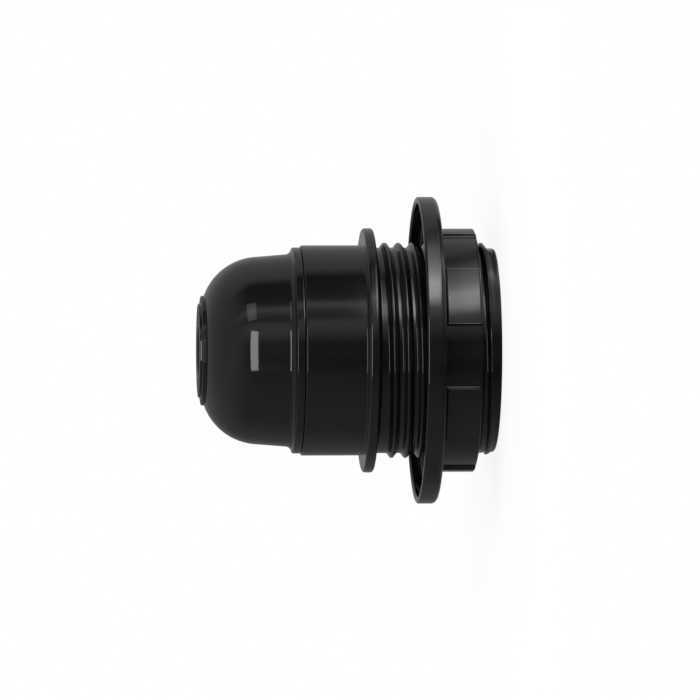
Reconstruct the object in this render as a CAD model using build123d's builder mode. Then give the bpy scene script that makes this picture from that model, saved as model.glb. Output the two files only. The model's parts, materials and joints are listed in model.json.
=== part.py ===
# Screw lamp holder with a threaded skirt and a shade ring.
# It stands on its mouth: Z is the axis, z = 0 is the mouth plane, the cable entry points up.
# All lengths are in millimetres, all radii are measured from the axis.
import os
from math import cos, radians, sin, sqrt, tan

from build123d import *

os.makedirs("parts", exist_ok=True)

# Heights along the axis
mouth_land_height = 0.65
thread_relief_height = 2.2
flange_bottom = 22.0
flange_thickness = 1.9
seat_clearance = 0.05
cap_height = 18.5
overall_height = 53.5

# Raised features reach this far into the wall that carries them
root_sink = 0.3

# Skirt: outer wall and flange
cylinder_wall = 2.07
land_step = 0.16
flange_reach = 3.08
flange_edge_bevel = 0.4
flange_root_bevel = 0.5
flange_face_clearance = 0.03

# Skirt: external thread, right-handed
shade_pitch = 2.5
shade_root_step = 0.41
shade_thread_depth = 0.87
shade_flight_base = 1.75
shade_flight_crest = 0.5
shade_crest_height_at_x = 2.35
shade_thread_gap = 1.775

# Skirt: inner sleeve with the lamp thread, 27 mm Edison screw, right-handed
sleeve_wall = 1.65
sleeve_top = 22.0
cavity_floor = 3.4
lamp_pitch = 3.629
lamp_major_radius = 13.35
lamp_thread_depth = 1.1
lamp_flight_base = 2.6
lamp_flight_crest = 0.9
lamp_thread_start = 4.6
lamp_thread_gap = 2.884
mouth_funnel = 1.4
mouth_edge_bevel = 0.5

# Shade ring
ring_radius = 27.7
ring_rim_height = 3.5
ring_collar_height = 6.9
ring_web_thickness = 1.2
ring_lip_wall = 1.2
ring_corner_round = 1.0
ring_collar_bottom = 3.65
ring_collar_wall = 1.93
ring_pad_depth = 0.54
ring_pad_groove = 0.4
ring_pad_count = 6
ring_pad_angle = 30.0
ring_pad_turn = -3.0
ring_pad_round = 0.3
ring_clearance = 0.07

# Cap: dome, step ring and cable entry
cap_step_setback = 0.38
cap_step_height = 1.5
dome_foot_setback = 1.265
dome_foot_rise = 1.55
dome_foot_flare = 1.6
dome_flank_lean = 4.8
dome_shoulder_lift = 0.4
dome_curve = 10.5
dome_wall = 2.0
dome_inner_bend_angle = 45.0
entry_disc_radius = 9.9
entry_pad_step = 1.4
entry_pad_height = 0.45
entry_bore_radius = 4.46
entry_tube_wall = 2.7
entry_tube_length = 10.0
entry_chamfer = 0.5

# Cap: spigot that screws into the skirt
spigot_clearance = 0.4
spigot_wall = 1.9
key_groove_depth = 1.1
key_groove_spare = 1.0

# Cap lock screw, M3
lock_screw_radius = 1.5
lock_screw_length = 6.0
lock_screw_drop = 6.1
lock_screw_setback = 0.3
lock_screw_point = 0.5
lock_boss_wall = 1.7
lock_access_clearance = 0.5
screw_clearance = 0.03
screw_slot_width = 0.7
screw_slot_depth = 0.9
screw_slot_length = 6.0

# Terminal body
body_flange_clearance = 0.2
body_flange_thickness = 3.0
body_side_clearance = 0.7
body_end_wall = 1.4
body_recess_setback = 0.75
body_recess_depth = 2.5
body_floor_thickness = 2.5
barrier_thickness = 1.6
barrier_height = 9.0
key_width = 3.0
key_clearance = 0.15
key_height = 7.0
pedestal_length = 7.5
pedestal_width = 9.4
pedestal_height = 3.5

# Terminals
strap_thickness = 0.8
strap_width = 6.6
strap_foot_gap = 0.7
strap_collar_wall = 0.8
strap_collar_depth = 1.5
strap_collar_clearance = 0.1
terminal_screw_radius = 1.5
terminal_screw_length = 6.4
terminal_hole_clearance = 0.2
terminal_hole_spare = 0.3
terminal_head_radius = 2.7
terminal_head_height = 2.0
plate_length = 6.6
plate_thickness = 1.2
plate_lip = 0.7
plate_lip_drop = 0.6
plate_slide_clearance = 0.05
plate_hole_clearance = 0.1

# Contacts and rivets
contact_thickness = 0.5
contact_width = 4.6
contact_foot_start = 1.7
centre_contact_reach = 9.0
centre_contact_bend = 0.75
centre_contact_drop = 2.8
centre_contact_tip_length = 2.0
side_contact_setback = 2.05
side_contact_bend = 0.6
side_contact_drop = 4.3
side_contact_end = 1.6
side_contact_inset = 0.8
rivet_foot_inset = 1.6
rivet_riser_gap = 1.55
rivet_radius = 0.9
rivet_head_radius = 1.5
rivet_head_height = 0.6
rivet_clearance = 0.04

# Radii that follow, from the barrier outward over rivet, pedestal and strap
# to the body, the cap's spigot and the skirt
strap_foot_start = barrier_thickness / 2 + strap_foot_gap
rivet_offset = strap_foot_start + rivet_foot_inset
pedestal_inner = rivet_offset + rivet_riser_gap + strap_thickness
terminal_offset = pedestal_inner + pedestal_length / 2
strap_end = terminal_offset + plate_length / 2
body_radius = strap_end + body_end_wall
spigot_bore_radius = body_radius + body_side_clearance
spigot_radius = spigot_bore_radius + spigot_wall
skirt_bore_radius = spigot_radius + spigot_clearance
body_flange_radius = skirt_bore_radius - body_flange_clearance
cylinder_radius = skirt_bore_radius + cylinder_wall
flange_radius = cylinder_radius + flange_reach
shade_root_radius = cylinder_radius - shade_root_step
land_radius = shade_root_radius - land_step
shade_crest_radius = shade_root_radius + shade_thread_depth
flange_face_radius = shade_crest_radius + flange_face_clearance
ring_bore_radius = shade_crest_radius + ring_clearance
ring_collar_radius = ring_bore_radius + ring_collar_wall
ring_lip_radius = ring_radius - ring_lip_wall
ring_pad_radius = ring_collar_radius + ring_pad_depth
ring_pad_inner = ring_collar_radius - root_sink
ring_pad_cos = cos(radians(ring_pad_angle / 2))
ring_pad_sin = sin(radians(ring_pad_angle / 2))
sleeve_radius = lamp_major_radius + sleeve_wall
body_recess_radius = lamp_major_radius - body_recess_setback
side_contact_offset = lamp_major_radius - side_contact_setback
key_groove_radius = spigot_bore_radius + key_groove_depth
key_reach = key_groove_radius - key_clearance
terminal_bore_radius = terminal_screw_radius + screw_clearance
strap_collar_radius = terminal_bore_radius + strap_collar_wall
cap_step_radius = cylinder_radius - cap_step_setback
dome_foot_radius = cap_step_radius - dome_foot_setback
entry_pad_radius = entry_disc_radius - entry_pad_step
entry_tube_radius = entry_bore_radius + entry_tube_wall
lock_boss_radius = lock_screw_radius + lock_boss_wall
lock_access_radius = lock_screw_radius + lock_access_clearance
lock_screw_inner = entry_bore_radius + lock_screw_setback
lock_screw_outer = lock_screw_inner + lock_screw_length

# Heights that follow
flange_top = flange_bottom + flange_thickness
ring_rim_bottom = ring_collar_bottom + ring_collar_height
ring_rim_top = ring_rim_bottom + ring_rim_height
ring_web_top = ring_rim_bottom + ring_web_thickness
ring_pad_top = ring_rim_bottom - ring_pad_groove
body_bottom = sleeve_top + seat_clearance
body_flange_top = body_bottom + body_flange_thickness
body_floor_bottom = body_bottom + body_recess_depth
body_floor_top = body_floor_bottom + body_floor_thickness
pedestal_top = body_floor_top + pedestal_height
strap_top = pedestal_top + strap_thickness
strap_foot_top = body_floor_top + strap_thickness
plate_top = strap_top + plate_thickness
terminal_screw_bottom = plate_top - terminal_screw_length
contact_bottom = body_floor_bottom - contact_thickness
contact_middle = body_floor_bottom - contact_thickness / 2
centre_contact_tip_height = contact_middle - centre_contact_drop
side_contact_bottom = contact_middle - side_contact_drop
seam_height = overall_height - cap_height
spigot_bottom = body_flange_top + seat_clearance
key_groove_length = key_height + key_groove_spare
cap_bottom = seam_height + seat_clearance
cap_step_top = cap_bottom + cap_step_height
entry_pad_bottom = overall_height - entry_pad_height
entry_tube_bottom = overall_height - entry_tube_length
lock_screw_height = overall_height - lock_screw_drop

# The dome: a leaning flank from its foot to its shoulder, and a round from there to the entry's disc
dome_foot_height = cap_step_top + dome_foot_rise
dome_shoulder_height = overall_height - dome_curve + dome_shoulder_lift
dome_flank_height = dome_shoulder_height - dome_foot_height
dome_shoulder_radius = dome_foot_radius - dome_flank_height * tan(radians(dome_flank_lean))
dome_middle_radius = dome_shoulder_radius - dome_curve * cos(radians(dome_flank_lean))
dome_middle_height = dome_shoulder_height - dome_curve * sin(radians(dome_flank_lean))
dome_curve_top = dome_middle_height + sqrt(dome_curve**2 - (entry_disc_radius - dome_middle_radius) ** 2)
dome_inner_curve = dome_curve - dome_wall
dome_inner_top = dome_middle_height + dome_inner_curve
dome_inner_bend_radius = dome_middle_radius + dome_inner_curve * cos(radians(dome_inner_bend_angle))
dome_inner_bend_height = dome_middle_height + dome_inner_curve * sin(radians(dome_inner_bend_angle))


def corner(section, radius, height):
    """The corner of a section that lies nearest to a radius and a height."""
    return section.vertices().sort_by_distance((radius, height))[0]


def thread_flight(radius, base, crest, depth, sink, pitch, turns, start_height, start_angle):
    """One right-handed flight with a trapezoid section.

    Its middle climbs by the pitch in each turn, from start_height at start_angle degrees.
    It stands by depth from the wall of the given radius, outward where depth is positive,
    and its foot is sunk into that wall.
    """
    toward_wall = -sink if depth > 0 else sink
    spread = (base - crest) / abs(depth) * sink
    foot = (base + spread) / 2
    with BuildPart(mode=Mode.PRIVATE) as flight:
        with BuildLine() as route:
            Helix(pitch=pitch, height=pitch * turns, radius=radius)
        with BuildSketch(Plane.XZ) as section:
            with BuildLine():
                Polyline(
                    (radius + toward_wall, -foot),
                    (radius + depth, -crest / 2),
                    (radius + depth, crest / 2),
                    (radius + toward_wall, foot),
                    close=True,
                )
            make_face()
        sweep(path=route.line, is_frenet=True)
    return flight.part.rotate(Axis.Z, start_angle).translate((0, 0, start_height))


# Skirt: one moulding with a double wall joined at the mouth
shade_start_turns = shade_crest_height_at_x / shade_pitch
shade_flight = thread_flight(
    radius=shade_root_radius,
    base=shade_flight_base,
    crest=shade_flight_crest,
    depth=shade_thread_depth,
    sink=root_sink,
    pitch=shade_pitch,
    turns=(flange_bottom - shade_thread_gap) / shade_pitch,
    start_height=0,
    start_angle=-360 * shade_start_turns,
)
lamp_flight = thread_flight(
    radius=lamp_major_radius,
    base=lamp_flight_base,
    crest=lamp_flight_crest,
    depth=-lamp_thread_depth,
    sink=root_sink,
    pitch=lamp_pitch,
    turns=(sleeve_top - lamp_thread_gap - lamp_thread_start) / lamp_pitch,
    start_height=lamp_thread_start,
    start_angle=0,
)

# The thread is cut back to a cone at the mouth, where it runs out
with BuildPart(mode=Mode.PRIVATE) as thread_room:
    with BuildSketch(Plane.XZ) as thread_room_section:
        with BuildLine():
            Polyline(
                (0, mouth_land_height),
                (land_radius, mouth_land_height),
                (2 * shade_crest_radius - land_radius, 2 * thread_relief_height - mouth_land_height),
                (2 * shade_crest_radius - land_radius, flange_bottom),
                (0, flange_bottom),
                close=True,
            )
        make_face()
    revolve(axis=Axis.Z)

with BuildPart() as skirt:
    with BuildSketch(Plane.XZ) as skirt_section:
        with BuildLine():
            Polyline(
                (lamp_major_radius, 0),
                (land_radius, 0),
                (land_radius, thread_relief_height),
                (shade_root_radius, thread_relief_height),
                (shade_root_radius, flange_bottom - flange_root_bevel),
                (flange_face_radius, flange_bottom),
                (flange_radius, flange_bottom),
                (flange_radius, flange_top),
                (cylinder_radius, flange_top),
                (cylinder_radius, seam_height),
                (skirt_bore_radius, seam_height),
                (skirt_bore_radius, cavity_floor),
                (sleeve_radius, cavity_floor),
                (sleeve_radius, sleeve_top),
                (lamp_major_radius, sleeve_top),
                close=True,
            )
        make_face()
        chamfer(corner(skirt_section, land_radius, 0), mouth_edge_bevel)
        chamfer(corner(skirt_section, flange_radius, flange_bottom), flange_edge_bevel)
        chamfer(corner(skirt_section, flange_radius, flange_top), flange_edge_bevel)
        chamfer(corner(skirt_section, lamp_major_radius, 0), mouth_funnel)
    revolve(axis=Axis.Z)
    add(shade_flight & thread_room.part)
    add(lamp_flight)
skirt.part.label = "skirt"
export_step(skirt.part, "parts/skirt.step")

# Outline of one grip pad, its outer corners rounded
with BuildSketch(mode=Mode.PRIVATE) as pad_outline:
    with BuildLine():
        CenterArc((0, 0), ring_pad_radius, -ring_pad_angle / 2, ring_pad_angle)
        Line(
            (ring_pad_inner * ring_pad_cos, ring_pad_inner * ring_pad_sin),
            (ring_pad_radius * ring_pad_cos, ring_pad_radius * ring_pad_sin),
        )
        CenterArc((0, 0), ring_pad_inner, -ring_pad_angle / 2, ring_pad_angle)
        Line(
            (ring_pad_inner * ring_pad_cos, -ring_pad_inner * ring_pad_sin),
            (ring_pad_radius * ring_pad_cos, -ring_pad_radius * ring_pad_sin),
        )
    make_face()
    fillet(pad_outline.vertices().sort_by(SortBy.DISTANCE)[-2:], ring_pad_round)

# Shade ring: hollow rim on a web, grip collar of raised pads below it
with BuildPart() as shade_ring:
    with BuildSketch(Plane.XZ) as ring_section:
        with BuildLine():
            Polyline(
                (ring_bore_radius, ring_collar_bottom),
                (ring_collar_radius, ring_collar_bottom),
                (ring_collar_radius, ring_rim_bottom),
                (ring_radius, ring_rim_bottom),
                (ring_radius, ring_rim_top),
                (ring_lip_radius, ring_rim_top),
                (ring_lip_radius, ring_web_top),
                (ring_bore_radius, ring_web_top),
                close=True,
            )
        make_face()
        fillet(corner(ring_section, ring_radius, ring_rim_bottom), ring_corner_round)
    revolve(axis=Axis.Z)
    with BuildSketch(Plane.XY.offset(ring_collar_bottom)):
        with PolarLocations(0, ring_pad_count, start_angle=ring_pad_turn):
            add(pad_outline.sketch)
    extrude(amount=ring_pad_top - ring_collar_bottom)
shade_ring.part.label = "shade_ring"
export_step(shade_ring.part, "parts/shade_ring.step")

# Cap: dome with the cable entry, and the spigot below the seam
with BuildPart(mode=Mode.PRIVATE) as cap_cavity:
    with BuildSketch(Plane.XZ):
        with BuildLine():
            Polyline(
                (entry_tube_radius, entry_tube_bottom),
                (0, entry_tube_bottom),
                (0, spigot_bottom),
                (spigot_bore_radius, spigot_bottom),
                (spigot_bore_radius, cap_bottom),
                (dome_foot_radius - dome_wall, cap_step_top),
                (dome_shoulder_radius - dome_wall, dome_shoulder_height),
                (dome_inner_bend_radius, dome_inner_bend_height),
                (entry_tube_radius, dome_inner_top),
                close=True,
            )
        make_face()
    revolve(axis=Axis.Z)
    # The lock screw's boss stays standing between the entry tube and the dome's wall
    with BuildSketch(Plane.XZ):
        with Locations((0, lock_screw_height)):
            Circle(lock_boss_radius)
    extrude(amount=-dome_shoulder_radius, mode=Mode.SUBTRACT)

with BuildPart() as cap:
    with BuildSketch(Plane.XZ):
        with BuildLine():
            Polyline(
                (entry_disc_radius, dome_curve_top),
                (entry_disc_radius, entry_pad_bottom),
                (entry_pad_radius, entry_pad_bottom),
                (entry_pad_radius, overall_height),
                (0, overall_height),
                (0, spigot_bottom),
                (spigot_radius, spigot_bottom),
                (spigot_radius, cap_bottom),
                (cap_step_radius, cap_bottom),
                (cap_step_radius, cap_step_top),
            )
            RadiusArc(
                (cap_step_radius, cap_step_top),
                (dome_foot_radius, dome_foot_height),
                dome_foot_flare,
            )
            Line((dome_foot_radius, dome_foot_height), (dome_shoulder_radius, dome_shoulder_height))
            RadiusArc(
                (dome_shoulder_radius, dome_shoulder_height),
                (entry_disc_radius, dome_curve_top),
                -dome_curve,
            )
        make_face()
    revolve(axis=Axis.Z)
    add(cap_cavity.part, mode=Mode.SUBTRACT)
    with BuildSketch(Plane.XY.offset(overall_height)):
        Circle(entry_bore_radius)
    extrude(amount=-entry_tube_length, mode=Mode.SUBTRACT)
    entry_mouth = cap.edges().filter_by(GeomType.CIRCLE).group_by(Axis.Z)[-1].sort_by(SortBy.RADIUS)[0]
    chamfer(entry_mouth, entry_chamfer)
    with BuildSketch(Plane.XZ):
        with Locations((0, lock_screw_height)):
            Circle(lock_screw_radius + screw_clearance)
    extrude(amount=-lock_screw_outer, mode=Mode.SUBTRACT)
    with BuildSketch(Plane.XZ.offset(-lock_screw_outer)):
        with Locations((0, lock_screw_height)):
            Circle(lock_access_radius)
    extrude(amount=-dome_shoulder_radius, mode=Mode.SUBTRACT)
    # Grooves for the terminal body's keys, open at the spigot's lower end
    with BuildSketch(Plane.XY.offset(spigot_bottom)):
        Rectangle(key_width + 2 * key_clearance, 2 * key_groove_radius)
    extrude(amount=key_groove_length, mode=Mode.SUBTRACT)
cap.part.label = "cap"
export_step(cap.part, "parts/cap.step")

# Lock screw: slotted grub screw, its blunt point toward the cable tube
with BuildPart() as cap_lock_screw:
    with BuildSketch(Plane.XZ.offset(-lock_screw_inner)):
        with Locations((0, lock_screw_height)):
            Circle(lock_screw_radius)
    extrude(amount=-lock_screw_length)
    chamfer(cap_lock_screw.edges().filter_by(GeomType.CIRCLE).sort_by(Axis.Y)[0], lock_screw_point)
    with BuildSketch(Plane.XZ.offset(-lock_screw_outer)):
        with Locations((0, lock_screw_height)):
            Rectangle(screw_slot_length, screw_slot_width)
    extrude(amount=screw_slot_depth, mode=Mode.SUBTRACT)
cap_lock_screw.part.label = "cap_lock_screw"
export_step(cap_lock_screw.part, "parts/cap_lock_screw.step")

# Terminal body: clamped flange, floor, barrier between the poles, keys and a pedestal for each terminal
with BuildPart() as terminal_body:
    with BuildSketch(Plane.XZ):
        with BuildLine():
            Polyline(
                (body_recess_radius, body_bottom),
                (body_flange_radius, body_bottom),
                (body_flange_radius, body_flange_top),
                (body_radius, body_flange_top),
                (body_radius, body_floor_top),
                (0, body_floor_top),
                (0, body_floor_bottom),
                (body_recess_radius, body_floor_bottom),
                close=True,
            )
        make_face()
    revolve(axis=Axis.Z)
    with BuildSketch(Plane.XY.offset(body_floor_top)):
        Rectangle(barrier_thickness, 2 * body_radius - barrier_thickness)
    extrude(amount=barrier_height)
    with BuildSketch(Plane.XY.offset(body_flange_top)):
        Rectangle(key_width, 2 * key_reach)
        Rectangle(key_width, 2 * (body_radius - barrier_thickness), mode=Mode.SUBTRACT)
    extrude(amount=key_height)
    with BuildSketch(Plane.XY.offset(body_floor_top)):
        with Locations((terminal_offset, 0), (-terminal_offset, 0)):
            Rectangle(pedestal_length, pedestal_width)
    extrude(amount=pedestal_height)
    with Locations((terminal_offset, 0, pedestal_top), (-terminal_offset, 0, pedestal_top)):
        CounterBoreHole(
            radius=terminal_screw_radius + terminal_hole_clearance,
            counter_bore_radius=strap_collar_radius + strap_collar_clearance,
            counter_bore_depth=strap_collar_depth + strap_collar_clearance,
            depth=pedestal_top - terminal_screw_bottom + terminal_hole_spare,
        )
    with Locations((rivet_offset, 0, body_floor_top), (-rivet_offset, 0, body_floor_top)):
        Hole(radius=rivet_radius + rivet_clearance, depth=body_floor_thickness)
terminal_body.part.label = "terminal_body"
export_step(terminal_body.part, "parts/terminal_body.step")

# Live side, on +X: strap, clamp plate, screw and rivet. The neutral side is the same, turned by half a turn
with BuildPart() as live_terminal:
    with BuildSketch(Plane.XZ) as strap_section:
        with BuildLine():
            Polyline(
                (strap_foot_start, body_floor_top),
                (pedestal_inner, body_floor_top),
                (pedestal_inner, pedestal_top),
                (strap_end, pedestal_top),
                (strap_end, strap_top),
                (pedestal_inner - strap_thickness, strap_top),
                (pedestal_inner - strap_thickness, strap_foot_top),
                (strap_foot_start, strap_foot_top),
                close=True,
            )
        make_face()
        fillet(corner(strap_section, pedestal_inner - strap_thickness, strap_top), strap_thickness)
    extrude(amount=strap_width / 2, both=True)
    with BuildSketch(Plane.XY.offset(pedestal_top)):
        with Locations((terminal_offset, 0)):
            Circle(strap_collar_radius)
    extrude(amount=-strap_collar_depth)
    with Locations((terminal_offset, 0, strap_top)):
        Hole(radius=terminal_bore_radius, depth=strap_thickness + strap_collar_depth)
    with Locations((rivet_offset, 0, strap_foot_top)):
        Hole(radius=rivet_radius + rivet_clearance, depth=strap_thickness)
live_terminal.part.label = "live_terminal"

with BuildPart() as live_clamp_plate:
    with BuildSketch(Plane.XY.offset(strap_top)):
        with Locations((terminal_offset, 0)):
            Rectangle(plate_length, strap_width + 2 * (plate_slide_clearance + plate_lip))
            Circle(terminal_screw_radius + plate_hole_clearance, mode=Mode.SUBTRACT)
    extrude(amount=plate_thickness)
    with BuildSketch(Plane.XY.offset(strap_top)):
        with Locations((terminal_offset, 0)):
            Rectangle(plate_length, strap_width + 2 * (plate_slide_clearance + plate_lip))
            Rectangle(plate_length, strap_width + 2 * plate_slide_clearance, mode=Mode.SUBTRACT)
    extrude(amount=-plate_lip_drop)
live_clamp_plate.part.label = "live_clamp_plate"

with BuildPart() as live_screw:
    with BuildSketch(Plane.XY.offset(terminal_screw_bottom)):
        with Locations((terminal_offset, 0)):
            Circle(terminal_screw_radius)
    extrude(amount=terminal_screw_length)
    with BuildSketch(Plane.XY.offset(plate_top)):
        with Locations((terminal_offset, 0)):
            Circle(terminal_head_radius)
    extrude(amount=terminal_head_height)
    with BuildSketch(Plane.XY.offset(plate_top + terminal_head_height)):
        with Locations((terminal_offset, 0)):
            Rectangle(screw_slot_length, screw_slot_width)
    extrude(amount=-screw_slot_depth, mode=Mode.SUBTRACT)
live_screw.part.label = "live_screw"

with BuildPart() as live_rivet:
    with BuildSketch(Plane.XY.offset(contact_bottom - rivet_head_height)):
        with Locations((rivet_offset, 0)):
            Circle(rivet_head_radius)
    extrude(amount=rivet_head_height)
    with BuildSketch(Plane.XY.offset(contact_bottom)):
        with Locations((rivet_offset, 0)):
            Circle(rivet_radius)
    extrude(amount=strap_foot_top - contact_bottom)
    with BuildSketch(Plane.XY.offset(strap_foot_top)):
        with Locations((rivet_offset, 0)):
            Circle(rivet_head_radius)
    extrude(amount=rivet_head_height)
live_rivet.part.label = "live_rivet"

for live_piece in (live_terminal, live_clamp_plate, live_screw, live_rivet):
    live_name = live_piece.part.label
    export_step(live_piece.part, f"parts/{live_name}.step")
    neutral_name = live_name.replace("live", "neutral")
    neutral_piece = live_piece.part.rotate(Axis.Z, 180)
    neutral_piece.label = neutral_name
    export_step(neutral_piece, f"parts/{neutral_name}.step")

# Centre contact: spring strip folded back under its rivet, so that its tip meets the lamp on the axis
with BuildPart() as centre_contact:
    with BuildSketch(Plane.XZ):
        with BuildLine():
            fold_bottom = contact_middle - 2 * centre_contact_bend
            tip_middle = centre_contact_tip_height + contact_thickness / 2
            tip_half = centre_contact_tip_length / 2
            Line((contact_foot_start, contact_middle), (centre_contact_reach, contact_middle))
            JernArc((centre_contact_reach, contact_middle), (1, 0), centre_contact_bend, -180)
            Line((centre_contact_reach, fold_bottom), (tip_half, tip_middle))
            Line((tip_half, tip_middle), (-tip_half, tip_middle))
        trace(line_width=contact_thickness)
    extrude(amount=contact_width / 2, both=True)
    with Locations((rivet_offset, 0, body_floor_bottom)):
        Hole(radius=rivet_radius + rivet_clearance, depth=contact_thickness)
centre_contact.part.label = "centre_contact"
export_step(centre_contact.part, "parts/centre_contact.step")

# Side contact: tongue bent down inside the sleeve, where it meets the lamp's shell
with BuildPart() as side_contact:
    with BuildSketch(Plane.XZ):
        with BuildLine():
            bend_start = side_contact_offset - side_contact_bend
            tongue_end = side_contact_bottom + side_contact_end
            Line((-contact_foot_start, contact_middle), (-bend_start, contact_middle))
            JernArc((-bend_start, contact_middle), (-1, 0), side_contact_bend, 90)
            Line(
                (-side_contact_offset, contact_middle - side_contact_bend),
                (-side_contact_offset, tongue_end),
            )
            Line(
                (-side_contact_offset, tongue_end),
                (side_contact_inset - side_contact_offset, side_contact_bottom),
            )
        trace(line_width=contact_thickness)
    extrude(amount=contact_width / 2, both=True)
    with Locations((-rivet_offset, 0, body_floor_bottom)):
        Hole(radius=rivet_radius + rivet_clearance, depth=contact_thickness)
side_contact.part.label = "side_contact"
export_step(side_contact.part, "parts/side_contact.step")
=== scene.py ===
# Looks of the screw lamp holder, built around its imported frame.
# The scene is in metres. Sizes named below repeat the part's own, in millimetres.
import json

import bmesh
import bpy
import numpy as np
from mathutils import Matrix, Vector


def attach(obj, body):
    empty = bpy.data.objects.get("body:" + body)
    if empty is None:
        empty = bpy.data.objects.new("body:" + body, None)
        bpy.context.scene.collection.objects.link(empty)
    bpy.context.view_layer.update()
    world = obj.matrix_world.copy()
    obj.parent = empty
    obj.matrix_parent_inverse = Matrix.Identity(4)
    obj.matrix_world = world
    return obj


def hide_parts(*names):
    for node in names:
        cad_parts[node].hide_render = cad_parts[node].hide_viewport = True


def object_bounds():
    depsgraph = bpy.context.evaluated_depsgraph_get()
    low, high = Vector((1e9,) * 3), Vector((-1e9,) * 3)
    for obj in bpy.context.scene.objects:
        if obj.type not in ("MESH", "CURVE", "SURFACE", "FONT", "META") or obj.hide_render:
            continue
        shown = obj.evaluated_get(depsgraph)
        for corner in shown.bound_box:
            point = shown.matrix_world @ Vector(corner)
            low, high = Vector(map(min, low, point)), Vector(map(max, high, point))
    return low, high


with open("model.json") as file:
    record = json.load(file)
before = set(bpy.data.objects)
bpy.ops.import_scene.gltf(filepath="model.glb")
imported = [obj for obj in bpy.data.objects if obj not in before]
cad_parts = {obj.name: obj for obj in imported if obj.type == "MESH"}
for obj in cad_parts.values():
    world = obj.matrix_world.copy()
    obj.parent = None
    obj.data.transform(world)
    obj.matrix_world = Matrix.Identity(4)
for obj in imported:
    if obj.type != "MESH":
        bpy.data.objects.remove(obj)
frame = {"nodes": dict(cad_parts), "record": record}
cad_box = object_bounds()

MM = 0.001
FULL_TURN = 2 * np.pi

# Shapes
# Arcs get a point at each step in millimetres, and no fewer than the given number
ARC_STEP, ARC_POINTS = 0.09, 5
RUN_GUARD = 0.07
CREST_BLEND = 0.22
COLUMNS, SKIRT_COLUMNS, SCREW_COLUMNS = 160, 156, 48
ON_AXIS = 1e-6
SAME_PLACE, SAME_ANGLE = 1e-8, 2e-4
SHARP = np.radians(35)


def unit(vectors):
    """Each row divided by its length."""
    return vectors / np.maximum(np.linalg.norm(vectors, axis=1, keepdims=True), 1e-12)


def rounded(corners):
    """Closed outline of radius and height, counter-clockwise.

    Each corner (radius, height, rounding, spacing) becomes the arc that touches both its sides. The
    straight run after it is divided evenly, no wider than its spacing, with one more point close to
    each end.
    """
    table = np.array(corners, float)
    here, rounding, spacing = table[:, :2], table[:, 2], table[:, 3]
    back = unit(np.roll(here, 1, 0) - here)
    ahead = unit(np.roll(here, -1, 0) - here)
    half = np.arccos(np.clip((back * ahead).sum(1), -1, 1)) / 2
    reach = (rounding / np.tan(half))[:, None]
    middle = here + unit(back + ahead) * (rounding / np.sin(half))[:, None]
    start, end = here + back * reach, here + ahead * reach
    parts = []
    for i in range(len(here)):
        if rounding[i] > 0:
            first, last = (np.arctan2(*(p[i] - middle[i])[::-1]) for p in (start, end))
            turn = (last - first + np.pi) % FULL_TURN - np.pi
            count = max(ARC_POINTS, int(abs(turn) * rounding[i] / ARC_STEP) + 2)
            angle = first + turn * np.linspace(0, 1, count)
            parts.append(middle[i] + rounding[i] * np.stack([np.cos(angle), np.sin(angle)], 1))
        else:
            parts.append(here[i : i + 1])
        run = np.roll(start, -1, 0)[i] - end[i]
        length = np.linalg.norm(run)
        share = np.linspace(0, 1, max(1, int(np.ceil(length / spacing[i]))) + 1)[1:-1]
        if length > 4 * RUN_GUARD:
            share = np.union1d(share, [RUN_GUARD / length, 1 - RUN_GUARD / length])
        parts.append(end[i] + run * share[:, None])
    return np.concatenate(parts)


def bow(middle, radius, first, last, count):
    """Points of an arc from one tilt to another in degrees, as plain corners for rounded()."""
    angle = np.radians(np.linspace(first, last, count))
    return [(middle[0] + radius * np.cos(a), middle[1] + radius * np.sin(a), 0, 1) for a in angle]


def smooth_step(value, low, high):
    """Rises from 0 at low to 1 at high, level at both ends."""
    share = np.clip((value - low) / (high - low), 0, 1)
    return share * share * (3 - 2 * share)


def soft_clip(value, blend):
    """Follows value between 0 and 1 and stays level outside, its bends rounded over the blend width."""
    low = np.clip(value + blend, 0, 2 * blend) ** 2 / (4 * blend)
    high = np.clip(1 - value + blend, 0, 2 * blend) ** 2 / (4 * blend)
    inside = (value > blend) & (value < 1 - blend)
    return np.where(inside, value, np.where(value <= 0.5, low, 1 - high))


def flight(angle, height, pitch, at_x, base, crest, first, last, fade):
    """Section of a right-handed screw flight: 1 on its crest, 0 between its turns.

    The crest passes +X at the height at_x and climbs by the pitch in each turn. Base and crest are the
    section's widths. The flight lives between two crest heights, first and last, and fades in and out
    over the fade height.
    """
    turns = (height - at_x) / pitch - angle / FULL_TURN
    nearest = np.round(turns)
    away = np.abs(turns - nearest) * pitch
    level = at_x + pitch * (nearest + angle / FULL_TURN)
    section = soft_clip((base / 2 - away) / ((base - crest) / 2), CREST_BLEND)
    return section * smooth_step(level, first, first + fade) * (1 - smooth_step(level, last - fade, last))


def turned(name, outline, angles, offset=None, middle=(0, 0)):
    """An outline turned about an upright axis through the middle (x, y), in millimetres.

    Point (i, j) lies at angle i and at outline point j. The offset, a function of angle, radius and
    height, is added to the radius. Points that meet, such as those on the axis, become one.
    """
    angle = angles[:, None]
    radius, height = outline[None, :, 0], outline[None, :, 1]
    if offset is not None:
        radius = radius + offset(angle, radius, height)
    across, along = middle[0] + radius * np.cos(angle), middle[1] + radius * np.sin(angle)
    piece = closed_grid(name, np.stack(np.broadcast_arrays(across, along, height), -1) * MM)
    if outline[:, 0].min() < ON_AXIS:
        shape = bmesh.new()
        shape.from_mesh(piece.data)
        bmesh.ops.remove_doubles(shape, verts=shape.verts, dist=SAME_PLACE)
        shape.to_mesh(piece.data)
        shape.free()
    return piece


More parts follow.
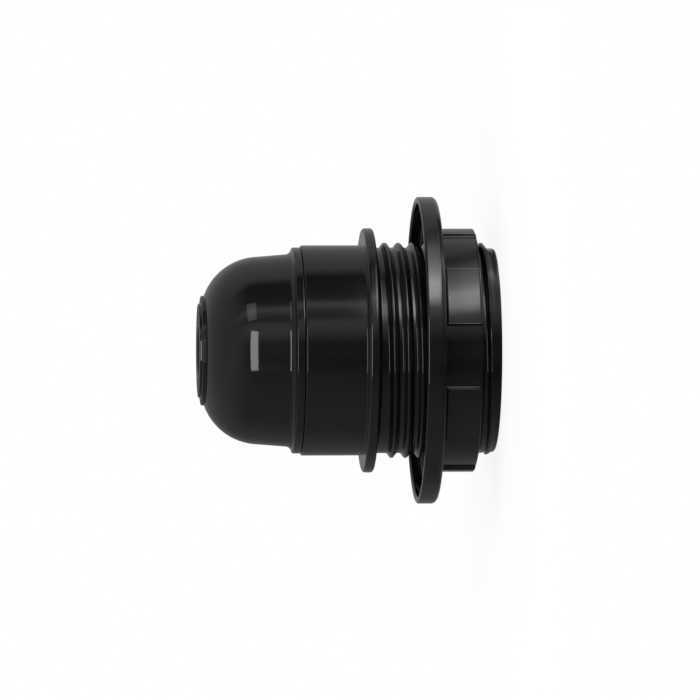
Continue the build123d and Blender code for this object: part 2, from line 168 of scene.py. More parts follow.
def closed_grid(name, points):
    """Mesh object of a grid of points that closes on itself both ways."""
    columns, rows = points.shape[:2]
    index = np.arange(columns * rows).reshape(columns, rows)
    beside = np.roll(index, -1, 0)
    quads = np.stack([index, beside, np.roll(beside, -1, 1), np.roll(index, -1, 1)], -1).reshape(-1, 4)
    mesh = bpy.data.meshes.new(name)
    mesh.from_pydata(points.reshape(-1, 3).tolist(), [], quads.tolist())
    return shown(name, mesh)


def shown(name, mesh):
    """Smooth object of a mesh, put in the scene."""
    mesh.polygons.foreach_set("use_smooth", np.ones(len(mesh.polygons), bool))
    mesh.update()
    piece = bpy.data.objects.new(name, mesh)
    bpy.context.scene.collection.objects.link(piece)
    return piece


def prism(name, loop, low, high, place=Matrix()):
    """Closed prism of a counter-clockwise loop between two heights, in millimetres, then placed."""
    count = len(loop)
    ends = [np.column_stack([loop, np.full(count, height)]) for height in (low, high)]
    points = np.concatenate(ends) * MM
    first = np.arange(count)
    second = np.roll(first, -1)
    sides = np.column_stack([first, second, second + count, first + count]).tolist()
    mesh = bpy.data.meshes.new(name)
    mesh.from_pydata(points.tolist(), [], [first[::-1].tolist(), (first + count).tolist(), *sides])
    mesh.transform(place)
    return shown(name, mesh)


def disc(radius, count=48):
    """Loop of a circle about the origin."""
    angle = np.linspace(0, FULL_TURN, count, endpoint=False)
    return np.column_stack([radius * np.cos(angle), radius * np.sin(angle)])


def box_loop(width, length):
    """Loop of a rectangle about the origin."""
    return np.array([(-1, -1), (1, -1), (1, 1), (-1, 1)]) * (width / 2, length / 2)


def carved(piece, *steps):
    """The piece after each step (operation, cutter), its sharp folds kept so. Cutters are used up."""
    for operation, cutter in steps:
        change = piece.modifiers.new(cutter.name, "BOOLEAN")
        change.operation, change.object, change.solver = operation, cutter, "MANIFOLD"
    cut = piece.evaluated_get(bpy.context.evaluated_depsgraph_get())
    mesh = bpy.data.meshes.new_from_object(cut)
    piece.modifiers.clear()
    piece.data = mesh
    for operation, cutter in steps:
        bpy.data.objects.remove(cutter)
    mesh.set_sharp_from_angle(angle=SHARP)
    return piece


def eased(name, node, width):
    """Copy of a CAD node, its triangles merged into flat faces, its edges rounded by a width in mm."""
    shape = bmesh.new()
    shape.from_mesh(frame["nodes"][node].data)
    bmesh.ops.remove_doubles(shape, verts=shape.verts, dist=1e-7)
    bmesh.ops.dissolve_limit(shape, angle_limit=np.radians(1), verts=shape.verts, edges=shape.edges)
    mesh = bpy.data.meshes.new(name)
    shape.to_mesh(mesh)
    shape.free()
    piece = shown(name, mesh)
    edges = piece.modifiers.new("edges", "BEVEL")
    edges.width, edges.segments = width * MM, 2
    edges.limit_method, edges.angle_limit = "ANGLE", SHARP
    edges.harden_normals = True
    return piece


def around(count, *crowded):
    """Angles of a full turn, evenly spaced, denser about each crowded (middle, half width, number)."""
    angles = [np.linspace(0, FULL_TURN, count, endpoint=False)]
    for middle, half, number in crowded:
        angles.append(np.radians(middle + np.linspace(-half, half, number)) % FULL_TURN)
    angles = np.unique(np.round(np.concatenate(angles), 6))
    return angles[np.append(np.diff(angles) > SAME_ANGLE, True)]


# Sizes of the part, in millimetres. A thread has its widths at base and crest, the height of its crest
# over +X, and the heights between which it lives. Its mouth end is cut by a cone, the lead-in.
SEAM = 35.0
SEAT = 0.05
OVERALL = 53.5
CYLINDER = 18.97
LAND = 18.4
LAND_TOP, LAND_EDGE = 2.0, 0.3
SHADE_ROOT = 18.56
SHADE_DEPTH = 0.87
SHADE_PITCH = 2.5
SHADE_AT_X = 2.35
SHADE_BASE, SHADE_CREST = 1.75, 0.5
SHADE_START, SHADE_END, SHADE_FADE = -9, 20.225, 0.25
LEAD_IN, LEAD_SLOPE = 0.65, 1.03 / 1.55
FLANGE = 22.05
FLANGE_BOTTOM, FLANGE_TOP = 22.0, 23.9
FLANGE_FACE, FLANGE_ROOT = 19.46, 0.5
SKIRT_BORE = 16.9
SLEEVE = 15.0
SLEEVE_TOP = 22.0
CAVITY_FLOOR = 3.4
LAMP_MAJOR = 13.35
LAMP_DEPTH = 1.1
LAMP_PITCH = 3.629
LAMP_START = 4.6
LAMP_BASE, LAMP_RUN_IN, LAMP_TURNS, LAMP_FADE = 3.4, 0.6, 4.1, 1.0
JOINT_PITCH = 3.0
JOINT_DEPTH, JOINT_BASE, JOINT_CREST, JOINT_END, JOINT_FADE = 0.35, 1.5, 0.8, 34.0, 0.5
BORE_THREAD_FROM, BORE_THREAD_AT_X, BORE_THREAD_START = 24.9, 26.5, 25.6
SPIGOT_THREAD_AT_X, SPIGOT_THREAD_START = 25.0, 26.2
PARTING, PARTING_REACH, PARTING_POINTS = (-165.5, 14.0), 0.8, 9
CHAMFER = 0.2
ON_WALL = 0.01


def parting_line(angle, width=0.35, height=0.035):
    """Low ridge that the two halves of the mould leave along the piece, in millimetres."""
    ridge = 0
    for middle in PARTING:
        away = np.degrees((angle - np.radians(middle) + np.pi) % FULL_TURN - np.pi)
        ridge = ridge + height * np.exp(-((away / width) ** 2))
    return ridge


def along(radius, wall):
    """Where the outline runs along the wall of a given radius."""
    return np.abs(radius - wall) < ON_WALL


# Skirt
THREAD_ROWS = 0.085
JOINT_ROWS = 0.16
LAMP_ROWS = 0.28
skirt_outline = rounded(
    [
        (LAMP_MAJOR, 0, 1.5, 0.6),
        (LAND, 0, 0.5, 0.4),
        (LAND, LAND_TOP, 0, THREAD_ROWS),
        (SHADE_ROOT, LAND_TOP + LAND_EDGE, 0, THREAD_ROWS),
        (SHADE_ROOT, FLANGE_BOTTOM - FLANGE_ROOT, 0.3, 0.2),
        (FLANGE_FACE, FLANGE_BOTTOM, 0.3, 0.8),
        (FLANGE, FLANGE_BOTTOM, 0.5, 0.5),
        (FLANGE, FLANGE_TOP, 0.5, 0.8),
        (CYLINDER, FLANGE_TOP, 0.3, 0.8),
        (CYLINDER, SEAM, 0.25, 0.8),
        (SKIRT_BORE, SEAM, 0.3, JOINT_ROWS),
        (SKIRT_BORE, SLEEVE_TOP, 0, 3.0),
        (SKIRT_BORE, CAVITY_FLOOR, 0.5, 0.8),
        (SLEEVE, CAVITY_FLOOR, 0.5, 3.0),
        (SLEEVE, SLEEVE_TOP, 0.2, 0.8),
        (LAMP_MAJOR, SLEEVE_TOP, 0.2, LAMP_ROWS),
    ]
)


def skirt_offset(angle, radius, height):
    """Outer thread for the shade ring, upper bore's thread for the cap, sleeve's thread for the lamp."""
    below_flange = (height > LAND_EDGE) & (height < FLANGE_BOTTOM + ON_WALL)
    outside = below_flange & (radius > LAND - ON_WALL) & (radius < SHADE_ROOT + 2 * ON_WALL)
    flank = SHADE_BASE, SHADE_CREST, SHADE_START, SHADE_END, SHADE_FADE
    shade = flight(angle, height, SHADE_PITCH, SHADE_AT_X, *flank) * SHADE_DEPTH
    room = LAND + (height - LEAD_IN) * LEAD_SLOPE - radius
    shade = np.clip(np.minimum(shade, room), 0, None)
    bore = along(radius, SKIRT_BORE) & (height > BORE_THREAD_FROM)
    flank = JOINT_BASE, JOINT_CREST, BORE_THREAD_START, JOINT_END, JOINT_FADE
    joint = -JOINT_DEPTH * flight(angle, height, JOINT_PITCH, BORE_THREAD_AT_X, *flank)
    inside = radius < LAMP_MAJOR + ON_WALL
    first, last = LAMP_START - LAMP_RUN_IN, LAMP_START + LAMP_TURNS * LAMP_PITCH
    wave = flight(angle, height, LAMP_PITCH, LAMP_START, LAMP_BASE, 0.0, first, last, LAMP_FADE)
    lamp = -LAMP_DEPTH * smooth_step(wave, 0.0, 1.0)
    seen = (radius > LAND - CHAMFER) & (height > LAND_EDGE) & (height < SEAM - LAND_EDGE)
    return (
        np.where(outside, shade, 0)
        + np.where(bore, joint, 0)
        + np.where(inside, lamp, 0)
        + np.where(seen, parting_line(angle), 0)
    )


skirt_angles = around(SKIRT_COLUMNS, *[(middle, PARTING_REACH, PARTING_POINTS) for middle in PARTING])
skirt = turned("skirt_moulding", skirt_outline, skirt_angles, skirt_offset)

# Shade ring
RING, RING_LIP = 27.7, 26.5
RING_TOP, RING_BOTTOM, RING_WEB_TOP = 14.05, 10.55, 11.75
COLLAR, COLLAR_BOTTOM = 21.43, 3.65
RING_BORE = 19.50
RING_THREAD, RING_BASE, RING_CREST, RING_THREAD_TOP, RING_FADE = 0.72, 1.7, 0.6, 11.9, 0.3
RING_THREAD_BOTTOM = COLLAR_BOTTOM + 0.15
PAD_DEPTH, PAD_ANGLE, PAD_TURN, PAD_TOP = 0.54, 30.0, -3.0, 10.15
PAD_COUNT, PAD_REACH, PAD_POINTS = 6, 0.75, 29
# A pad rises over these degrees at its sides and millimetres at its ends, in bends of these blends
PAD_SIDE, PAD_TOP_EDGE, PAD_FOOT_EDGE = 0.5, 0.2, 0.3
SIDE_BEND, END_BEND = 0.42, 0.45
# Its lip is a share of its depth, at degrees within its edge and degrees wide
PAD_LIP, PAD_LIP_INSET, PAD_LIP_WIDTH = 0.1, 0.3, 0.15
BORE_EDGE, WEB_EDGE = 0.7, 0.15
RING_ROWS = 0.12
ring_outline = rounded(
    [
        (RING_BORE, COLLAR_BOTTOM, 0.25, 0.5),
        (COLLAR, COLLAR_BOTTOM, 0.3, 0.22),
        (COLLAR, PAD_TOP, 0, RING_ROWS),
        (COLLAR, RING_BOTTOM, 0.2, 0.8),
        (RING, RING_BOTTOM, 1.0, 0.6),
        (RING, RING_TOP, 0.35, 0.4),
        (RING_LIP, RING_TOP, 0.35, 0.4),
        (RING_LIP, RING_WEB_TOP, 0.3, 0.8),
        (RING_BORE, RING_WEB_TOP, 0.2, RING_ROWS),
    ]
)
pad_middles = [PAD_TURN + 360 / PAD_COUNT * k for k in range(PAD_COUNT)]
pad_edges = [middle + side * PAD_ANGLE / 2 for middle in pad_middles for side in (-1, 1)]


def ring_offset(angle, radius, height):
    """Grip pads with a fine lip at their edges, and the bore's thread, between the skirt's turns."""
    between = 360 / PAD_COUNT
    from_middle = np.abs((np.degrees(angle) - PAD_TURN + between / 2) % between - between / 2)
    sides = soft_clip((PAD_ANGLE / 2 - from_middle) / PAD_SIDE + 0.5, SIDE_BEND)
    top = soft_clip((PAD_TOP - height) / PAD_TOP_EDGE + 0.5, END_BEND)
    foot = soft_clip((height - COLLAR_BOTTOM) / PAD_FOOT_EDGE + 0.2, END_BEND)
    from_lip = (from_middle - PAD_ANGLE / 2 + PAD_LIP_INSET) / PAD_LIP_WIDTH
    pads = sides * top * foot * (1 + PAD_LIP * np.exp(-(from_lip**2)))
    below_web = height < RING_BOTTOM - WEB_EDGE
    collar = below_web & (radius > RING_BORE + BORE_EDGE) & (radius < COLLAR + ON_WALL)
    inside = radius < RING_BORE + ON_WALL
    flank = RING_BASE, RING_CREST, RING_THREAD_BOTTOM, RING_THREAD_TOP, RING_FADE
    thread = flight(angle, height, SHADE_PITCH, SHADE_AT_X + SHADE_PITCH / 2, *flank)
    return np.where(collar, PAD_DEPTH * pads, 0) - np.where(inside, RING_THREAD * thread, 0)


ring_angles = around(COLUMNS, *[(edge, PAD_REACH, PAD_POINTS) for edge in pad_edges])
ring = turned("shade_ring_moulding", ring_outline, ring_angles, ring_offset)

# Cap
CAP_BOTTOM = SEAM + SEAT
STEP, STEP_TOP = 18.59, CAP_BOTTOM + 1.5
FOOT, FOOT_HEIGHT, SHOULDER_HEIGHT = 17.325, 38.1, 43.4
FLANK_LEAN, DOME_CURVE, DOME_WALL = 4.8, 10.5, 2.0
DISC, PAD_RADIUS = 9.9, 8.5
DISC_END = OVERALL - 0.45
ENTRY_EDGE = 0.4
ENTRY, ENTRY_DEPTH, ENTRY_PITCH, ENTRY_AT_X = 4.46, 0.54, 1.0, 44.0
ENTRY_BASE, ENTRY_CREST, ENTRY_START, ENTRY_END, ENTRY_FADE = 0.9, 0.15, 43.9, 53.2, 0.3
TUBE, TUBE_BOTTOM = 7.16, 43.5
SPIGOT, SPIGOT_BORE, SPIGOT_BOTTOM = 16.5, 14.6, 25.1
LOCK_HEIGHT, LOCK_INNER, LOCK_OUTER, SCREW_RADIUS = 47.4, 4.76, 10.76, 1.5
LOCK_BOSS, LOCK_ACCESS, SCREW_GAP = 3.2, 2.0, 0.03
BOSS_DROP, BOSS_SINK, SPARE = 6, 1, 1
KEY_WIDTH, KEY_REACH, KEY_TOP = 3.3, 15.7, 33.1
SHOULDER = FOOT - (SHOULDER_HEIGHT - FOOT_HEIGHT) * np.tan(np.radians(FLANK_LEAN))
DOME_MIDDLE = (
    SHOULDER - DOME_CURVE * np.cos(np.radians(FLANK_LEAN)),
    SHOULDER_HEIGHT - DOME_CURVE * np.sin(np.radians(FLANK_LEAN)),
)
DOME_END = np.degrees(np.arccos((DISC - DOME_MIDDLE[0]) / DOME_CURVE))
INNER_CURVE = DOME_CURVE - DOME_WALL
INNER_END = 85.0
cap_outline = rounded(
    [
        (SPIGOT_BORE, SPIGOT_BOTTOM, 0.3, 0.8),
        (SPIGOT, SPIGOT_BOTTOM, 0.4, JOINT_ROWS),
        (SPIGOT, CAP_BOTTOM, 0.2, 0.8),
        (STEP, CAP_BOTTOM, 0.2, 0.6),
        (STEP, STEP_TOP, 0.22, 0.6),
        (FOOT + 0.09, STEP_TOP + 0.35, 1.2, 0.6),
        *bow(DOME_MIDDLE, DOME_CURVE, FLANK_LEAN, DOME_END - 1.5, 48),
        (DISC, DOME_MIDDLE[1] + DOME_CURVE * np.sin(np.radians(DOME_END)), 0.12, 0.4),
        (DISC, DISC_END, 0.25, 0.4),
        (PAD_RADIUS, DISC_END, 0.12, 0.3),
        (PAD_RADIUS, OVERALL, 0.15, 0.6),
        (ENTRY, OVERALL, 0.5, 0.06),
        (ENTRY, TUBE_BOTTOM, 0.3, 0.8),
        (TUBE, TUBE_BOTTOM, 0.3, 0.8),
        (TUBE, DOME_MIDDLE[1] + INNER_CURVE, 0.5, 0.8),
        *bow(DOME_MIDDLE, INNER_CURVE, INNER_END, FLANK_LEAN, 14),
        (SPIGOT_BORE, CAP_BOTTOM, 0.5, 1.0),
    ]
)


def cap_offset(angle, radius, height):
    """Thread of the spigot outside, and the cable tube's thread in the entry."""
    spigot = along(radius, SPIGOT) & (height < CAP_BOTTOM)
    flank = JOINT_BASE, JOINT_CREST, SPIGOT_THREAD_START, JOINT_END, JOINT_FADE
    joint = JOINT_DEPTH * flight(angle, height, JOINT_PITCH, SPIGOT_THREAD_AT_X, *flank)
    entry = (radius < ENTRY + ON_WALL) & (height < OVERALL - ENTRY_EDGE)
    flank = ENTRY_BASE, ENTRY_CREST, ENTRY_START, ENTRY_END, ENTRY_FADE
    groove = ENTRY_DEPTH * flight(angle, height, ENTRY_PITCH, ENTRY_AT_X, *flank)
    return np.where(spigot, joint, 0) + np.where(entry, groove, 0)


ALONG_Y = Matrix.Translation((0, 0, LOCK_HEIGHT * MM)) @ Matrix.Rotation(-np.pi / 2, 4, "X")
inside_dome = np.array(
    [
        (0, SHOULDER_HEIGHT - BOSS_DROP),
        (SHOULDER - BOSS_SINK, SHOULDER_HEIGHT - BOSS_DROP),
        *[place[:2] for place in bow(DOME_MIDDLE, DOME_CURVE - BOSS_SINK, 0, 90, 24)],
        (0, DOME_MIDDLE[1] + DOME_CURVE - BOSS_SINK),
    ]
)
lock_boss = carved(
    prism("lock_boss", disc(LOCK_BOSS), TUBE - BOSS_SINK, SHOULDER, ALONG_Y),
    ("INTERSECT", turned("inside_dome", inside_dome, around(COLUMNS))),
)
hole_loop = disc(SCREW_RADIUS + SCREW_GAP)
key_loop = box_loop(KEY_WIDTH, 2 * KEY_REACH)
cap = carved(
    turned("cap_moulding", cap_outline, around(COLUMNS), cap_offset),
    ("UNION", lock_boss),
    ("DIFFERENCE", prism("lock_hole", hole_loop, SPARE, LOCK_OUTER + SPARE, ALONG_Y)),
    ("DIFFERENCE", prism("lock_access", disc(LOCK_ACCESS), LOCK_OUTER, 2 * LOCK_OUTER, ALONG_Y)),
    ("DIFFERENCE", prism("key_grooves", key_loop, SPIGOT_BOTTOM - SPARE, KEY_TOP)),
)

# Screws, with their threads and slots
SCREW_PITCH, SCREW_DEPTH, SCREW_BASE, SCREW_CREST, SCREW_FADE = 0.5, 0.27, 0.44, 0.06, 0.3
SLOT_WIDTH, SLOT_DEPTH, SLOT_LENGTH = 0.7, 0.9, 6.0
THREAD_INSET, PLAIN_NECK, LOCK_POINT = 0.1, 1.3, 0.4
TERMINAL = 9.2
TERMINAL_BOTTOM, PLATE_TOP, HEAD_TOP, HEAD = 26.15, 32.55, 34.55, 2.7
slot_loop = box_loop(SLOT_LENGTH, SLOT_WIDTH)


def screw_offset(first, last):
    """Thread cut into a shank between two heights."""

    def offset(angle, radius, height):
        flank = SCREW_BASE, SCREW_CREST, first, last, SCREW_FADE
        wave = flight(angle, height, SCREW_PITCH, 0, *flank)
        threaded = along(radius, SCREW_RADIUS) & (height > first) & (height < last)
        return np.where(threaded, -SCREW_DEPTH * wave, 0)

    return offset


def terminal_screw(name, side):
    """Cheese head terminal screw on +X or -X, its slot across the strap."""
    outline = rounded(
        [
            (0, TERMINAL_BOTTOM, 0, 0.5),
            (SCREW_RADIUS, TERMINAL_BOTTOM, 0.25, 0.045),
            (SCREW_RADIUS, PLATE_TOP, 0, 0.5),
            (HEAD, PLATE_TOP, 0.15, 0.5),
            (HEAD, HEAD_TOP, 0.25, 0.5),
            (0, HEAD_TOP, 0, 5),
        ]
    )
    thread = screw_offset(TERMINAL_BOTTOM + THREAD_INSET, PLATE_TOP - PLAIN_NECK)
    slot = prism(name + "_slot", slot_loop, HEAD_TOP - SLOT_DEPTH, HEAD_TOP + SPARE)
    slot.data.transform(Matrix.Translation((side * TERMINAL * MM, 0, 0)))
    screw = turned(name, outline, around(SCREW_COLUMNS), thread, (side * TERMINAL, 0))
    return carved(screw, ("DIFFERENCE", slot))


live_screw = terminal_screw("live_screw_turned", 1)
neutral_screw = terminal_screw("neutral_screw_turned", -1)

lock_outline = rounded(
    [
        (0, LOCK_INNER, 0, 0.5),
        (SCREW_RADIUS, LOCK_INNER, 0.45, 0.045),
        (SCREW_RADIUS, LOCK_OUTER, 0.12, 0.5),
        (0, LOCK_OUTER, 0, 6),
    ]
)
lock_thread = screw_offset(LOCK_INNER + LOCK_POINT, LOCK_OUTER - THREAD_INSET)
lock_slot = prism("lock_slot", slot_loop, LOCK_OUTER - SLOT_DEPTH, LOCK_OUTER + SPARE)
lock_screw = carved(
    turned("lock_screw_turned", lock_outline, around(SCREW_COLUMNS), lock_thread),
    ("DIFFERENCE", lock_slot),
)
lock_screw.data.transform(ALONG_Y)

# Finishes


class Signal:
    """A shader value whose operators add Math nodes."""

    def __init__(self, finish, socket):
        self.finish, self.socket = finish, socket

    def math(self, operation, first, second):
        """Result of a Math node on two values."""
        return self.finish.node("ShaderNodeMath", {"operation": operation}, {0: first, 1: second})

    def __add__(self, other):
        return self.math("ADD", self, other)

    def __mul__(self, other):
        return self.math("MULTIPLY", self, other)

    def __sub__(self, other):
        return self.math("SUBTRACT", self, other)

    def __rsub__(self, other):
        return self.math("SUBTRACT", other, self)

    __radd__ = __add__
    __rmul__ = __mul__


class Finish:
    """The nodes of a material or of the world."""

    def __init__(self, holder):
        self.holder = holder
        holder.use_nodes = True
        self.tree = holder.node_tree
        self.tree.nodes.clear()

    def node(self, kind, settings=None, inputs=None, output=0):
        """Adds a node. Its settings are set first, then the values or links of its sockets."""
        node = self.tree.nodes.new(kind)
        for name, value in (settings or {}).items():
            if name == "stops":
                elements = node.color_ramp.elements
                elements[0].color, elements[-1].color = [(value[i][1],) * 3 + (1,) for i in (0, -1)]
                for place, level in value[1:-1]:
                    elements.new(place).color = (level,) * 3 + (1,)
            else:
                setattr(node, name, value)
        for name, value in (inputs or {}).items():
            if isinstance(value, Signal):
                self.tree.links.new(value.socket, node.inputs[name])
            else:
                node.inputs[name].default_value = value
        return Signal(self, node.outputs[output])

    def place(self):
        """The object's own coordinates, in metres."""
        return self.node("ShaderNodeTexCoord", output="Object")

    def noise(self, place, scale, detail=2.0, roughness=0.5):
        """Soft random variation from 0 to 1."""
        inputs = {"Vector": place, "Scale": scale, "Detail": detail, "Roughness": roughness}
        return self.node("ShaderNodeTexNoise", {}, inputs)

    def blend(self, share, low, high):
        """Colour between two colours."""
        return self.node("ShaderNodeMix", {"data_type": "RGBA"}, {0: share, 6: low, 7: high}, output=2)

    def bump(self, height, distance, strength):
        """Surface relief of a height from 0 to 1, over a distance in metres."""
        inputs = {"Height": height, "Distance": distance, "Strength": strength}
        return self.node("ShaderNodeBump", {}, inputs)

    def surface(self, **sockets):
        """Closes the material with one shader of the given sockets."""
        inputs = {name.replace("_", " "): value for name, value in sockets.items()}
        return self.finish(self.node("ShaderNodeBsdfPrincipled", {}, inputs))

    def finish(self, shader, kind="ShaderNodeOutputMaterial"):
        """Leads a shader to the output, and gives back the material or world."""
        output = self.tree.nodes.new(kind)
        self.tree.links.new(shader.socket, output.inputs["Surface"])
        return self.holder


def shell_finish():
    """Gloss black thermoplastic: even, with a faint mould grain and slight changes of gloss."""
    finish = Finish(bpy.data.materials.new("shell_black"))
    place = finish.place()
    cloud = finish.noise(place, scale=90.0, detail=3.0)
    grain = finish.noise(place, scale=5200.0, roughness=0.6)
    colour = finish.blend(cloud, (0.0032, 0.0032, 0.0034, 1), (0.0050, 0.0050, 0.0053, 1))
    relief = finish.bump(grain, distance=0.000008, strength=0.3)
    return finish.surface(Base_Color=colour, Roughness=0.035 + cloud * 0.045, IOR=1.5, Normal=relief)


def insert_finish():
    """Matt black thermoplastic of the insert."""
    finish = Finish(bpy.data.materials.new("insert_black"))
    place = finish.place()
    cloud = finish.noise(place, scale=160.0, detail=3.0)
    grain = finish.noise(place, scale=3800.0, roughness=0.6)
    colour = finish.blend(cloud, (0.018, 0.018, 0.019, 1), (0.030, 0.030, 0.031, 1))
    relief = finish.bump(grain, distance=0.00002, strength=0.5)
    return finish.surface(Base_Color=colour, Roughness=0.45 + cloud * 0.12, Normal=relief)


def metal_finish(name, dark, light, rough):
    """Stamped or turned metal: slightly uneven tone and gloss, with fine drawing marks."""
    finish = Finish(bpy.data.materials.new(name))
    place = finish.place()
    cloud = finish.noise(place, scale=260.0, detail=4.0)
    drawn = finish.node("ShaderNodeMapping", {}, {"Vector": place, "Scale": (1, 8, 1)})
    marks = finish.noise(drawn, scale=1500.0, detail=3.0)
    colour = finish.blend(cloud, dark, light)
    relief = finish.bump(marks, distance=0.000012, strength=0.5)
    return finish.surface(Base_Color=colour, Metallic=1.0, Roughness=rough + marks * 0.16, Normal=relief)


finishes = {
    "shell_black": shell_finish(),
    "insert_black": insert_finish(),
    "brass": metal_finish("brass", (0.62, 0.43, 0.17, 1), (0.80, 0.60, 0.28, 1), 0.22),
    "contact_bronze": metal_finish("contact_bronze", (0.58, 0.33, 0.16, 1), (0.74, 0.47, 0.25, 1), 0.24),
    "screw_steel": metal_finish("screw_steel", (0.52, 0.52, 0.53, 1), (0.68, 0.68, 0.69, 1), 0.24),
}

slots = {entry["node"]: entry["material_slot"] for entry in frame["record"]["subparts"]}
for node, piece in frame["nodes"].items():
    for holder in piece.material_slots:
        holder.material = finishes[slots[node]]
    if not piece.material_slots:
        piece.data.materials.append(finishes[slots[node]])

pieces = [
    (skirt, "skirt", "skirt"),
    (ring, "ring", "shade_ring"),
    (cap, "cap", "cap"),
    (lock_screw, "lock_screw", "cap_lock_screw"),
    (live_screw, "live_screw", "live_screw"),
    (neutral_screw, "neutral_screw", "neutral_screw"),
    (eased("insert_moulding", "terminal_body", 0.2), "insert", "terminal_body"),
    (eased("centre_spring", "centre_contact", 0.08), "insert", "centre_contact"),
    (eased("side_spring", "side_contact", 0.08), "insert", "side_contact"),
]
for pole in ("live", "neutral"):
    strap, rivet, plate = pole + "_terminal", pole + "_rivet", pole + "_clamp_plate"
    pieces.append((eased(pole + "_strap", strap, 0.1), "insert", strap))
    pieces.append((eased(pole + "_rivet_set", rivet, 0.15), "insert", rivet))
    pieces.append((eased(pole + "_saddle", plate, 0.15), pole + "_plate", plate))
for piece, body, node in pieces:
    piece.data.materials.clear()
    piece.data.materials.append(finishes[slots[node]])
    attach(piece, body)
    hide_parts(node)

# Stage
# Brightness of the studio as gloss mirrors it, by degrees from the camera's side toward +X
AROUND = [
    (-180, 0.27), (-165, 0.20), (-141, 0.18), (-117, 0.23), (-93, 0.19), (-75, 0.22), (-45, 0.19),
    (-27, 0.13), (-13, 0.04), (-3, 0.09), (7, 0.06), (15, 0.27), (23, 0.50), (30, 0.58),
    (38, 0.20), (44, 0.36), (51, 0.80), (57, 0.20), (64, 0.08), (87, 0.04), (94, 0.28),
    (100, 0.45), (117, 0.44), (135, 0.37), (160, 0.36), (180, 0.30),
]
OVERHEAD = 0.38
OVERHEAD_RISE = 0.25, 0.9
SKYLINE_WIDTH = 0.998, 0.9992
SKYLINE_HEIGHT = 0.05, 0.058, 0.85, 0.0
AMBIENT = 0.5

# Painted reflection: light of a low reflector beside the camera, painted on the floor as a glow that only
# gloss sees, by the same degrees
REFLECTOR = [
    (-180, 0), (22, 0), (30, 0.08), (34, 0.50), (39, 1.0), (47, 1.05), (53, 0.78),
    (60, 0.53), (68, 0.36), (78, 0.20), (87, 0.07), (95, 0), (180, 0),
]
REFLECTOR_LEVEL = 5.5
# Its changes with the distance from the holder: from, to, level before and level after. The dim first
# step is painted shade of the holder in that reflection
REFLECTOR_REACH = [
    (0.044, 0.072, 0.07, 0.80),
    (0.095, 0.125, 1.0, 0.75),
    (0.145, 0.175, 1.0, 1.9),
    (0.20, 0.385, 1.0, 0.0),
]
# How far the holder's shadow shows on the floor, as the share of plain white in it
SHADOW_REACH = 0.05, 0.16, 0.86, 1.0
FLOOR_GREY = (0.88, 0.88, 0.88, 1)
FLOOR_RADIUS, FLOOR_DEPTH, FLOOR_GAP = 3.0, 5, 2e-5


def by_azimuth(finish, place, stops):
    """Brightness by the azimuth of a place or direction, between the stops of degrees and brightness."""
    split = [finish.node("ShaderNodeSeparateXYZ", {}, {0: place}, output=i) for i in (0, 1)]
    azimuth = finish.node("ShaderNodeMath", {"operation": "ARCTAN2"}, {0: split[0], 1: split[1] * -1.0})
    levels = [((degrees + 180) / 360, level) for degrees, level in stops]
    return finish.node("ShaderNodeValToRGB", {"stops": levels}, {0: azimuth * (1 / FULL_TURN) + 0.5})


def ease(finish, value, first, last, low=0.0, high=1.0):
    """Value that goes softly from low to high while the given one goes from first to last."""
    inputs = {"Value": value, "From Min": first, "From Max": last, "To Min": low, "To Max": high}
    return finish.node("ShaderNodeMapRange", {"interpolation_type": "SMOOTHSTEP"}, inputs)


def ray(finish, kind):
    """1 for rays of a kind."""
    return finish.node("ShaderNodeLightPath", output="Is " + kind + " Ray")


def floor_finish():
    """Pale floor: the camera sees white with the holder's soft shadow, and gloss sees the studio and the
    reflector painted on it as a glow.
    """
    finish = Finish(bpy.data.materials.new("floor_pale"))
    place = finish.place()
    away = finish.node("ShaderNodeVectorMath", {"operation": "LENGTH"}, {0: place}, output=1)
    clear, gloss = ray(finish, "Camera") + ray(finish, "Transmission"), ray(finish, "Glossy")
    level = REFLECTOR_LEVEL
    for change in REFLECTOR_REACH:
        level = ease(finish, away, *change) * level
    # Painted reflection: for gloss the floor glows with the studio's and the reflector's light, dimmed
    # near the holder as painted shade
    mirrored = by_azimuth(finish, place, AROUND) + by_azimuth(finish, place, REFLECTOR) * level
    strength = clear + gloss * mirrored
    matt = finish.node("ShaderNodeBsdfDiffuse", {}, {"Color": FLOOR_GREY})
    glow = finish.node("ShaderNodeEmission", {}, {"Color": (1, 1, 1, 1), "Strength": strength})
    share = clear * ease(finish, away, *SHADOW_REACH) + gloss
    material = finish.finish(finish.node("ShaderNodeMixShader", {}, {0: share, 1: matt, 2: glow}))
    material.cycles.emission_sampling = "NONE"
    return material


def studio():
    """World: white for the camera, by direction for gloss, and even for all else."""
    finish = Finish(bpy.data.worlds.new("studio"))
    direction = finish.node("ShaderNodeTexCoord", output="Generated")
    ahead, height = [finish.node("ShaderNodeSeparateXYZ", {}, {0: direction}, output=i) for i in (1, 2)]
    up = ease(finish, height, *OVERHEAD_RISE)
    skyline = ease(finish, ahead, *SKYLINE_WIDTH) * ease(finish, height, *SKYLINE_HEIGHT)
    mirrored = (by_azimuth(finish, direction, AROUND) * (1.0 - up) + up * OVERHEAD) * (1.0 - skyline)
    clear, gloss = ray(finish, "Camera") + ray(finish, "Transmission"), ray(finish, "Glossy")
    strength = clear + gloss * mirrored + (1.0 - clear - gloss) * AMBIENT
    light = finish.node("ShaderNodeBackground", {}, {"Color": (1, 1, 1, 1), "Strength": strength})
    return finish.finish(light, "ShaderNodeOutputWorld")


floor_place = Matrix.Translation((0, 0, cad_box[0].z - FLOOR_GAP))
floor = prism("floor", disc(FLOOR_RADIUS / MM, 96), -FLOOR_DEPTH, 0, floor_place)
floor.data.materials.append(floor_finish())
bpy.context.scene.world = studio()

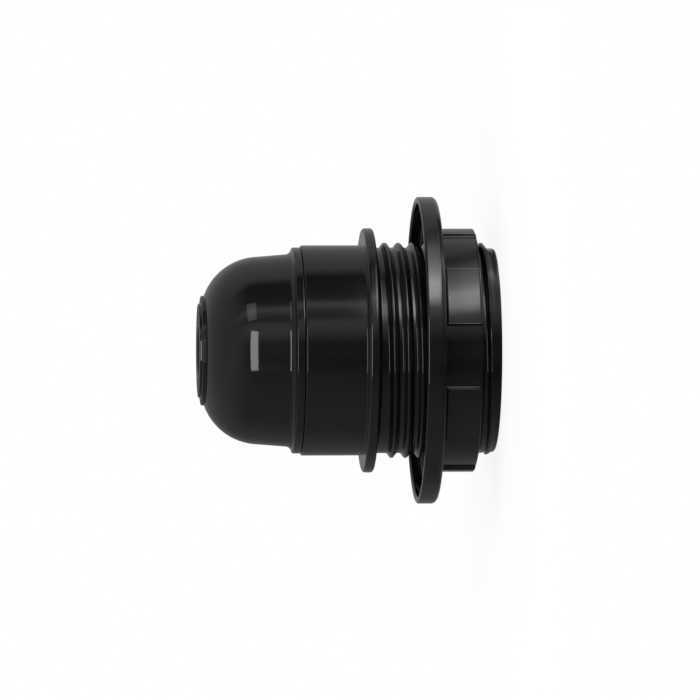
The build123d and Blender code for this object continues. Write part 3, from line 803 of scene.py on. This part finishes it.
# Lamps by name: place, width and height in metres, watts, and whether gloss mirrors them
LAMPS = {
    "window": ((-0.01, -1.16, 0.357), (1.05, 0.305), 4.7, True),
    "panel": ((0.87, -0.73, 0.394), (0.46, 0.34), 0.45, True),
    "key": ((0.55, -0.75, 0.75), (0.6, 0.6), 6.0, False),
    "fill": ((-0.8, -0.45, 0.45), (0.7, 0.7), 3.5, False),
    "back": ((0.15, 0.9, 0.6), (0.8, 0.5), 4.5, False),
}
LAMP_TARGET = Vector((0, 0, 0.027))


def softbox(name, place, size, power, mirrored):
    """Rectangular lamp at a place, facing the middle of the holder."""
    lamp = bpy.data.lights.new(name, "AREA")
    lamp.shape = "RECTANGLE"
    lamp.size, lamp.size_y = size
    lamp.energy = power
    stand = bpy.data.objects.new(name, lamp)
    bpy.context.scene.collection.objects.link(stand)
    stand.location = place
    stand.rotation_mode = "QUATERNION"
    stand.rotation_quaternion = (LAMP_TARGET - Vector(place)).to_track_quat("-Z", "Y")
    stand.visible_camera = False
    stand.visible_glossy = mirrored


for name, lamp in LAMPS.items():
    softbox(name, *lamp)

# Camera, rolled so that +X is up in the picture
CAMERA_SIDE = 0.00007
CAMERA_DISTANCE = 1.2201
CAMERA_HEIGHT = 0.1059
CAMERA_ROLL = np.radians(-0.109)
AIM_HEIGHT = 0.02603
LENS, SENSOR = 348.4, 36.0
CLIP = 0.01, 20.0
camera_data = bpy.data.cameras.new("camera")
camera_data.sensor_width = SENSOR
camera_data.lens = LENS
camera_data.dof.use_dof = False
camera = bpy.data.objects.new("camera", camera_data)
bpy.context.scene.collection.objects.link(camera)
eye = Vector((CAMERA_SIDE, -CAMERA_DISTANCE, CAMERA_HEIGHT))
ahead = (Vector((CAMERA_SIDE, 0, AIM_HEIGHT)) - eye).normalized()
level = ahead.cross(Vector((1, 0, 0))).normalized()
right = level * np.cos(CAMERA_ROLL) + level.cross(ahead) * np.sin(CAMERA_ROLL)
picture_up = right.cross(ahead)
camera.matrix_world = Matrix.Translation(eye) @ Matrix((right, picture_up, -ahead)).transposed().to_4x4()
camera_data.clip_start, camera_data.clip_end = CLIP
bpy.context.scene.camera = camera

bpy.context.scene.view_settings.view_transform = "Standard"
